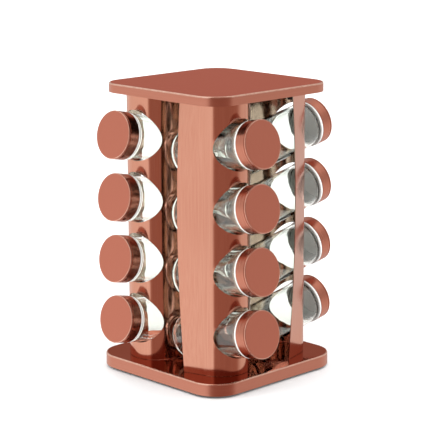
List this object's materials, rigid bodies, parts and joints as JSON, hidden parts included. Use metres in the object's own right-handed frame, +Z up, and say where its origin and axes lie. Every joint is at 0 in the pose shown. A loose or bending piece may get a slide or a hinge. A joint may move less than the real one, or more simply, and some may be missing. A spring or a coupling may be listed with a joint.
{
  "type": "spice carousel",
  "caption": "Square revolving spice rack: bent copper-coloured posts hold tilted glass jars with copper-skinned lids between a round-cornered top and a turntable base.",
  "frame": {"origin": "centre of the footprint, on the surface the rack stands on", "axes": "+Z up along the turning axis; X and Y along the sides of the square base"},
  "size_m": [0.2174, 0.2174, 0.2965],
  "materials": {
    "copper_steel": "brushed copper-coloured coating on thin steel",
    "lid_copper": "brushed copper-coloured metal skin",
    "cap_plastic": "white moulded",
    "jar_glass": "clear, faintly green at the edges",
    "black_plastic": "black moulded",
    "grip_rubber": "matt black",
    "glide_plastic": "smooth off-white",
    "rivet_steel": "plain"
  },
  "bodies": {
    "stand": {"turntable_foot": "black_plastic", "grip_ring": "grip_rubber", "glide_ring": "glide_plastic", "pivot_rivet": "rivet_steel"},
    "carousel": {"base_tray": "copper_steel", "base_core": "black_plastic", "post_1": "copper_steel", "post_2": "copper_steel", "post_3": "copper_steel", "post_4": "copper_steel", "top_cover": "copper_steel", "top_frame": "black_plastic"},
    "jar_1_1": {"jar_glass_1_1": "jar_glass"},
    "lid_1_1": {"lid_cap_1_1": "cap_plastic", "lid_skin_1_1": "lid_copper"},
    "jar_1_2": {"jar_glass_1_2": "jar_glass"},
    "lid_1_2": {"lid_cap_1_2": "cap_plastic", "lid_skin_1_2": "lid_copper"},
    "jar_1_3": {"jar_glass_1_3": "jar_glass"},
    "lid_1_3": {"lid_cap_1_3": "cap_plastic", "lid_skin_1_3": "lid_copper"},
    "jar_1_4": {"jar_glass_1_4": "jar_glass"},
    "lid_1_4": {"lid_cap_1_4": "cap_plastic", "lid_skin_1_4": "lid_copper"},
    "jar_2_1": {"jar_glass_2_1": "jar_glass"},
    "lid_2_1": {"lid_cap_2_1": "cap_plastic", "lid_skin_2_1": "lid_copper"},
    "jar_2_2": {"jar_glass_2_2": "jar_glass"},
    "lid_2_2": {"lid_cap_2_2": "cap_plastic", "lid_skin_2_2": "lid_copper"},
    "jar_2_3": {"jar_glass_2_3": "jar_glass"},
    "lid_2_3": {"lid_cap_2_3": "cap_plastic", "lid_skin_2_3": "lid_copper"},
    "jar_2_4": {"jar_glass_2_4": "jar_glass"},
    "lid_2_4": {"lid_cap_2_4": "cap_plastic", "lid_skin_2_4": "lid_copper"},
    "jar_3_1": {"jar_glass_3_1": "jar_glass"},
    "lid_3_1": {"lid_cap_3_1": "cap_plastic", "lid_skin_3_1": "lid_copper"},
    "jar_3_2": {"jar_glass_3_2": "jar_glass"},
    "lid_3_2": {"lid_cap_3_2": "cap_plastic", "lid_skin_3_2": "lid_copper"},
    "jar_3_3": {"jar_glass_3_3": "jar_glass"},
    "lid_3_3": {"lid_cap_3_3": "cap_plastic", "lid_skin_3_3": "lid_copper"},
    "jar_3_4": {"jar_glass_3_4": "jar_glass"},
    "lid_3_4": {"lid_cap_3_4": "cap_plastic", "lid_skin_3_4": "lid_copper"},
    "jar_4_1": {"jar_glass_4_1": "jar_glass"},
    "lid_4_1": {"lid_cap_4_1": "cap_plastic", "lid_skin_4_1": "lid_copper"},
    "jar_4_2": {"jar_glass_4_2": "jar_glass"},
    "lid_4_2": {"lid_cap_4_2": "cap_plastic", "lid_skin_4_2": "lid_copper"},
    "jar_4_3": {"jar_glass_4_3": "jar_glass"},
    "lid_4_3": {"lid_cap_4_3": "cap_plastic", "lid_skin_4_3": "lid_copper"},
    "jar_4_4": {"jar_glass_4_4": "jar_glass"},
    "lid_4_4": {"lid_cap_4_4": "cap_plastic", "lid_skin_4_4": "lid_copper"}
  },
  "joints": [
    {"name": "carousel_spin", "type": "hinge", "parent": "stand", "child": "carousel", "pos_m": [0, 0, 0], "axis": [0, 0, 1], "continuous": true},
    {"name": "jar_1_1_out", "type": "slide", "parent": "carousel", "child": "jar_1_1", "axis": [0, -0.9799, 0.1994], "range_m": [0, 0.1]},
    {"name": "lid_1_1_off", "type": "slide", "parent": "jar_1_1", "child": "lid_1_1", "axis": [0, -0.9799, 0.1994], "range_m": [0, 0.03]},
    {"name": "jar_1_2_out", "type": "slide", "parent": "carousel", "child": "jar_1_2", "axis": [0, -0.9799, 0.1994], "range_m": [0, 0.1]},
    {"name": "lid_1_2_off", "type": "slide", "parent": "jar_1_2", "child": "lid_1_2", "axis": [0, -0.9799, 0.1994], "range_m": [0, 0.03]},
    {"name": "jar_1_3_out", "type": "slide", "parent": "carousel", "child": "jar_1_3", "axis": [0, -0.9799, 0.1994], "range_m": [0, 0.1]},
    {"name": "lid_1_3_off", "type": "slide", "parent": "jar_1_3", "child": "lid_1_3", "axis": [0, -0.9799, 0.1994], "range_m": [0, 0.03]},
    {"name": "jar_1_4_out", "type": "slide", "parent": "carousel", "child": "jar_1_4", "axis": [0, -0.9799, 0.1994], "range_m": [0, 0.1]},
    {"name": "lid_1_4_off", "type": "slide", "parent": "jar_1_4", "child": "lid_1_4", "axis": [0, -0.9799, 0.1994], "range_m": [0, 0.03]},
    {"name": "jar_2_1_out", "type": "slide", "parent": "carousel", "child": "jar_2_1", "axis": [0.9799, 0, 0.1994], "range_m": [0, 0.1]},
    {"name": "lid_2_1_off", "type": "slide", "parent": "jar_2_1", "child": "lid_2_1", "axis": [0.9799, 0, 0.1994], "range_m": [0, 0.03]},
    {"name": "jar_2_2_out", "type": "slide", "parent": "carousel", "child": "jar_2_2", "axis": [0.9799, 0, 0.1994], "range_m": [0, 0.1]},
    {"name": "lid_2_2_off", "type": "slide", "parent": "jar_2_2", "child": "lid_2_2", "axis": [0.9799, 0, 0.1994], "range_m": [0, 0.03]},
    {"name": "jar_2_3_out", "type": "slide", "parent": "carousel", "child": "jar_2_3", "axis": [0.9799, 0, 0.1994], "range_m": [0, 0.1]},
    {"name": "lid_2_3_off", "type": "slide", "parent": "jar_2_3", "child": "lid_2_3", "axis": [0.9799, 0, 0.1994], "range_m": [0, 0.03]},
    {"name": "jar_2_4_out", "type": "slide", "parent": "carousel", "child": "jar_2_4", "axis": [0.9799, 0, 0.1994], "range_m": [0, 0.1]},
    {"name": "lid_2_4_off", "type": "slide", "parent": "jar_2_4", "child": "lid_2_4", "axis": [0.9799, 0, 0.1994], "range_m": [0, 0.03]},
    {"name": "jar_3_1_out", "type": "slide", "parent": "carousel", "child": "jar_3_1", "axis": [0, 0.9799, 0.1994], "range_m": [0, 0.1]},
    {"name": "lid_3_1_off", "type": "slide", "parent": "jar_3_1", "child": "lid_3_1", "axis": [0, 0.9799, 0.1994], "range_m": [0, 0.03]},
    {"name": "jar_3_2_out", "type": "slide", "parent": "carousel", "child": "jar_3_2", "axis": [0, 0.9799, 0.1994], "range_m": [0, 0.1]},
    {"name": "lid_3_2_off", "type": "slide", "parent": "jar_3_2", "child": "lid_3_2", "axis": [0, 0.9799, 0.1994], "range_m": [0, 0.03]},
    {"name": "jar_3_3_out", "type": "slide", "parent": "carousel", "child": "jar_3_3", "axis": [0, 0.9799, 0.1994], "range_m": [0, 0.1]},
    {"name": "lid_3_3_off", "type": "slide", "parent": "jar_3_3", "child": "lid_3_3", "axis": [0, 0.9799, 0.1994], "range_m": [0, 0.03]},
    {"name": "jar_3_4_out", "type": "slide", "parent": "carousel", "child": "jar_3_4", "axis": [0, 0.9799, 0.1994], "range_m": [0, 0.1]},
    {"name": "lid_3_4_off", "type": "slide", "parent": "jar_3_4", "child": "lid_3_4", "axis": [0, 0.9799, 0.1994], "range_m": [0, 0.03]},
    {"name": "jar_4_1_out", "type": "slide", "parent": "carousel", "child": "jar_4_1", "axis": [-0.9799, 0, 0.1994], "range_m": [0, 0.1]},
    {"name": "lid_4_1_off", "type": "slide", "parent": "jar_4_1", "child": "lid_4_1", "axis": [-0.9799, 0, 0.1994], "range_m": [0, 0.03]},
    {"name": "jar_4_2_out", "type": "slide", "parent": "carousel", "child": "jar_4_2", "axis": [-0.9799, 0, 0.1994], "range_m": [0, 0.1]},
    {"name": "lid_4_2_off", "type": "slide", "parent": "jar_4_2", "child": "lid_4_2", "axis": [-0.9799, 0, 0.1994], "range_m": [0, 0.03]},
    {"name": "jar_4_3_out", "type": "slide", "parent": "carousel", "child": "jar_4_3", "axis": [-0.9799, 0, 0.1994], "range_m": [0, 0.1]},
    {"name": "lid_4_3_off", "type": "slide", "parent": "jar_4_3", "child": "lid_4_3", "axis": [-0.9799, 0, 0.1994], "range_m": [0, 0.03]},
    {"name": "jar_4_4_out", "type": "slide", "parent": "carousel", "child": "jar_4_4", "axis": [-0.9799, 0, 0.1994], "range_m": [0, 0.1]},
    {"name": "lid_4_4_off", "type": "slide", "parent": "jar_4_4", "child": "lid_4_4", "axis": [-0.9799, 0, 0.1994], "range_m": [0, 0.03]}
  ]
}
